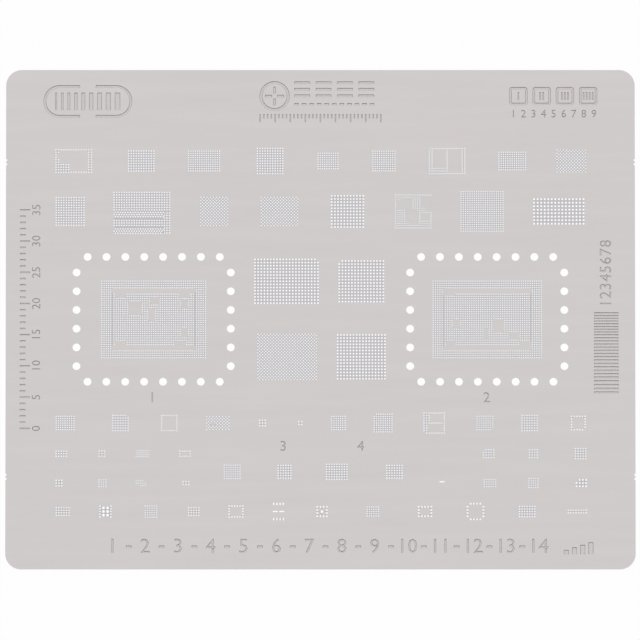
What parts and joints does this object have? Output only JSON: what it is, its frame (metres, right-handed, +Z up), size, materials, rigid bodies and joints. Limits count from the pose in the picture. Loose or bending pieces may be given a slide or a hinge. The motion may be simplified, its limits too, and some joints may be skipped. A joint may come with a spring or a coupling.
{
  "type": "solder paste stencil",
  "caption": "Thin stainless steel sheet with rounded corners, cut through with patches of fine paste apertures and frames of round relief holes.",
  "frame": {"origin": "middle of the sheet's underside", "axes": "+X along the long side, +Y along the short side towards the top line of patches, +Z up out of the top face"},
  "size_m": [0.1, 0.08, 0.0001],
  "materials": {
    "stainless_steel": "fine brushed, satin"
  },
  "bodies": {
    "root": {"stencil_sheet": "stainless_steel"}
  },
  "joints": []
}
